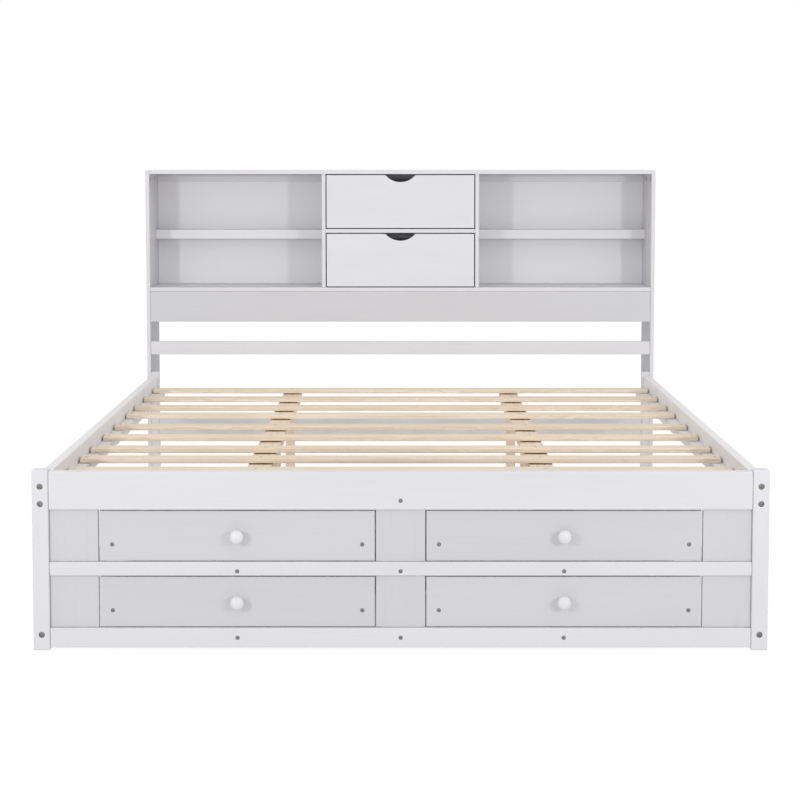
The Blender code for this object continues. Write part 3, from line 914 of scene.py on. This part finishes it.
def make_ledges():
    """In each open compartment: the ledge with its lip, and the rail under the top board."""
    top_low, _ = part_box("headboard_top")
    for side, _ in SIDES:
        node = f"headboard_ledge_{side}"
        low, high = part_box(node)
        # painted light: the lip takes the lighter copy of the white paint
        board(
            f"{node}_lip", low, (high.x, low.y + BOARD, high.z), "frame_white",
            radius=PANEL_RADIUS, replaced=(node,), material=MATERIALS["ledge"],
        )
        board(
            f"{node}_shelf", (low.x, low.y + BOARD + SEAM, high.z - BOARD), high, "frame_white",
            radius=SHEET_RADIUS,
        )
        board(
            f"headboard_back_rail_{side}",
            (low.x, high.y - BACK_RAIL_THICKNESS, top_low.z - SEAM - BACK_RAIL_HEIGHT),
            (high.x, high.y, top_low.z - SEAM),
            "shelf_white", radius=PANEL_RADIUS,
        )


def half_moon(low, high):
    """A cylinder across the top edge of a drawer front, for the finger gap."""
    half_chord = FINGER_CHORD / 2
    radius = (half_chord ** 2 + FINGER_DEPTH ** 2) / (2 * FINGER_DEPTH)
    centre_z = high.z - FINGER_DEPTH + radius

    def shape(cage):
        front = (0.0, low.y - CUT_THROUGH, centre_z)
        rod(cage, front, (0.0, low.y + CUT_THROUGH, centre_z), radius, steps=160)

    return shape


def make_headboard_drawer(tier):
    """One small drawer: a front with a half-moon finger gap, and a tray of four boards."""
    node = f"headboard_drawer_{tier}"
    body = f"{tier}_headboard_drawer"
    low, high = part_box(node)
    front_high = Vector((high.x, low.y + SMALL_FRONT_THICKNESS, high.z))
    trim = Vector((SMALL_TRIM, 0.0, SMALL_TRIM))
    board(
        f"{node}_front", low + trim, front_high - trim, "shelf_white", body=body,
        radius=PANEL_RADIUS, shapes=(half_moon(low, high),), replaced=(node,),
    )
    tray_low = Vector((low.x + SMALL_TRAY_INSET, front_high.y + SEAM, low.z + SMALL_TRAY_LIFT))
    tray_high = Vector((high.x - SMALL_TRAY_INSET, high.y, tray_low.z + SMALL_TRAY_HEIGHT))
    make_tray(node, body, tray_low, tray_high, SMALL_WALL)


def make_cams():
    """Cam locks on the inner faces of the side panels, just under the top board."""
    top_low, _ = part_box("headboard_top")
    for side, sign in SIDES:
        low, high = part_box(f"headboard_side_{side}")
        face_x = low.x if sign > 0 else high.x
        for place, depth in CAM_DEPTHS:
            fastener(
                f"cam_lock_{side}_{place}", CAM_MESH, (face_x, HEAD_Y + depth, top_low.z - CAM_DROP),
                (-sign, 0.0, 0.0), material=MATERIALS["cam"],
            )


def make_side_screws():
    """Screws through the outside of the side panels into the shelves, apron and rails."""
    upper_bolt, _, lower_bolt = bolt_heights()
    levels = [
        (sum(corner.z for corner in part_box(node)) / 2, depths) for node, depths in SIDE_SCREW_DEPTHS
    ]
    levels += [(upper_bolt, (RAIL_SCREW_DEPTH,)), (lower_bolt, (RAIL_SCREW_DEPTH,))]
    for side, sign in SIDES:
        low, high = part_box(f"headboard_side_{side}")
        face_x = high.x if sign > 0 else low.x
        count = 0
        for height, depths in levels:
            for depth in depths:
                count += 1
                seat = (face_x - sign * SMALL_SCREW_HEIGHT, HEAD_Y + depth, height)
                fastener(f"side_screw_{side}_{count}", SMALL_SCREW_MESH, seat, (sign, 0.0, 0.0))


# ---------------------------------------------------------------- stage, light and camera

CAMERA_X = -0.0013
CAMERA_DISTANCE = 4.4432      # in front of the foot posts
CAMERA_HEIGHT = 1.0707
CAMERA_TILT = 4.9138          # degrees below level
CAMERA_LENS = 93.235
CAMERA_SHIFT = -0.08          # keeps the posts close to upright in the picture
SENSOR_WIDTH = 36.0

FLOOR_HALF = 30.0
FLOOR_COLOUR = (0.80, 0.80, 0.80, 1.0)
FLOOR_ROUGHNESS = 0.9
FLOOR_SHADE = 0.22            # how much of the floor's own shading shows near the bed
FLOOR_GLOW = 1.09             # brightness of the rest, as the camera sees it
FLOOR_FADE = (2.2, 4.5)       # the floor turns into plain white between these distances
FLOOR_SOFT_EDGE = 0.04        # of the shaded floor under the drawers
BACKDROP = 1.0                # brightness of the surround as the camera sees it
AMBIENT = 0.83                # brightness of the surround as a light

SOFTBOX_X = 2.2
SOFTBOX_AHEAD = 4.7           # in front of the headboard
SOFTBOX_HEIGHT = 1.2
SOFTBOX_AIM = 0.80            # height on the headboard that the softboxes point at
SOFTBOX_SIZE = 0.26
SOFTBOX_SPREAD = 86.0         # degrees
SOFTBOX_POWER = 6.8
FILL_AHEAD = 4.2              # a weak light just in front of the camera, facing the foot
FILL_HEIGHT = 1.0
FILL_AIM = 0.3
FILL_SIZE = 1.2
FILL_POWER = 7.5
TOP_LIGHT_HEIGHT = 3.4
TOP_LIGHT_SIZE = 3.2
TOP_LIGHT_POWER = 20.0
TOP_LIGHT_Y = -0.3            # a little nearer the foot than the middle
TOP_LIGHT_AIM = 0.3           # height of the point that it looks at


def white_surround(tree, seen):
    """Light that is brighter to the camera than to the room, as a white backdrop is."""
    camera_ray = add(tree, "ShaderNodeLightPath").outputs["Is Camera Ray"]
    return add(tree, "ShaderNodeMapRange", {"Value": camera_ray, 3: AMBIENT, 4: seen}).outputs[0]


def make_floor():
    """A plain pale floor: white away from the bed, its own colour and shade under the drawers."""
    def plane(cage):
        bmesh.ops.create_grid(cage, x_segments=1, y_segments=1, size=FLOOR_HALF)

    floor = link("floor", mesh_from(plane, "floor"))
    material, tree, shader = new_material("pale_floor")
    shader.inputs["Base Color"].default_value = FLOOR_COLOUR
    shader.inputs["Roughness"].default_value = FLOOR_ROUGHNESS
    position = add(tree, "ShaderNodeTexCoord").outputs["Object"]
    distance = add(tree, "ShaderNodeVectorMath", {0: position}, operation="LENGTH").outputs["Value"]
    fade = remap(tree, distance, *FLOOR_FADE, 1.0 - FLOOR_SHADE, 1.0)
    parts = add(tree, "ShaderNodeSeparateXYZ", {0: position})
    board_low, board_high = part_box("drawer_back_board")
    spans = (
        (parts.outputs["X"], 0.0, board_high.x),
        (parts.outputs["Y"], (FOOT_Y + board_low.y) / 2 + FLOOR_SOFT_EDGE, (board_low.y - FOOT_Y) / 2),
    )
    under = 1.0
    for value, middle, half in spans:
        reach = calculate(tree, "ABSOLUTE", calculate(tree, "SUBTRACT", value, middle))
        inside = remap(tree, reach, half - FLOOR_SOFT_EDGE, half, 1.0, 0.0)
        under = calculate(tree, "MULTIPLY", inside, under)
    share = calculate(tree, "MULTIPLY", fade, calculate(tree, "SUBTRACT", 1.0, under))
    glow = add(tree, "ShaderNodeEmission", {"Strength": white_surround(tree, FLOOR_GLOW)})
    mixed = add(tree, "ShaderNodeMixShader", {0: share, 1: shader.outputs[0], 2: glow.outputs[0]})
    output = next(node for node in tree.nodes if node.type == "OUTPUT_MATERIAL")
    tree.links.new(mixed.outputs[0], output.inputs["Surface"])
    floor.data.materials.append(material)


def area_light(name, place, target, size, power, spread=180.0):
    """A square soft light aimed at a point."""
    data = bpy.data.lights.new(name, "AREA")
    data.shape = "SQUARE"
    data.size = size
    data.energy = power
    data.spread = math.radians(spread)
    obj = bpy.data.objects.new(name, data)
    obj.location = place
    obj.rotation_euler = (Vector(target) - Vector(place)).to_track_quat("-Z", "Y").to_euler()
    bpy.context.scene.collection.objects.link(obj)


def make_lights():
    """An even white surround, two softboxes, a weak front fill and a broad light overhead."""
    world = bpy.data.worlds.new("white_surround")
    world.use_nodes = True
    background = world.node_tree.nodes["Background"]
    background.inputs["Color"].default_value = (1.0, 1.0, 1.0, 1.0)
    strength = white_surround(world.node_tree, BACKDROP)
    world.node_tree.links.new(strength, background.inputs["Strength"])
    bpy.context.scene.world = world
    for side, sign in SIDES:
        area_light(
            f"softbox_{side}", (sign * SOFTBOX_X, HEAD_Y - SOFTBOX_AHEAD, SOFTBOX_HEIGHT),
            (0.0, HEAD_Y, SOFTBOX_AIM), SOFTBOX_SIZE, SOFTBOX_POWER, SOFTBOX_SPREAD,
        )
    area_light(
        "front_fill", (0.0, FOOT_Y - FILL_AHEAD, FILL_HEIGHT), (0.0, FOOT_Y, FILL_AIM),
        FILL_SIZE, FILL_POWER,
    )
    area_light(
        "top_light", (0.0, TOP_LIGHT_Y, TOP_LIGHT_HEIGHT), (0.0, 0.0, TOP_LIGHT_AIM),
        TOP_LIGHT_SIZE, TOP_LIGHT_POWER,
    )


def make_camera():
    """A long lens square to the foot end, a little above the headboard and tilted down."""
    data = bpy.data.cameras.new("camera")
    data.sensor_width = SENSOR_WIDTH
    data.lens = CAMERA_LENS
    data.shift_y = CAMERA_SHIFT
    data.dof.use_dof = False
    camera = bpy.data.objects.new("camera", data)
    camera.location = (CAMERA_X, FOOT_Y - CAMERA_DISTANCE, CAMERA_HEIGHT)
    camera.rotation_euler = (math.radians(90.0 - CAMERA_TILT), 0.0, 0.0)
    bpy.context.scene.collection.objects.link(camera)
    bpy.context.scene.camera = camera
    bpy.context.scene.view_settings.view_transform = "Standard"


make_camera()
make_lights()
make_floor()
make_posts()
make_foot_rails()
make_foot_panels()
make_sides()
make_slats()
make_beams()
make_drawer_support()
make_lower_guides()
for drawer_tier in TIERS:
    for drawer_side, _ in SIDES:
        make_foot_drawer(drawer_tier, drawer_side)
make_headboard_frame()
make_ledges()
for drawer_tier in TIERS:
    make_headboard_drawer(drawer_tier)
make_cams()
make_side_screws()
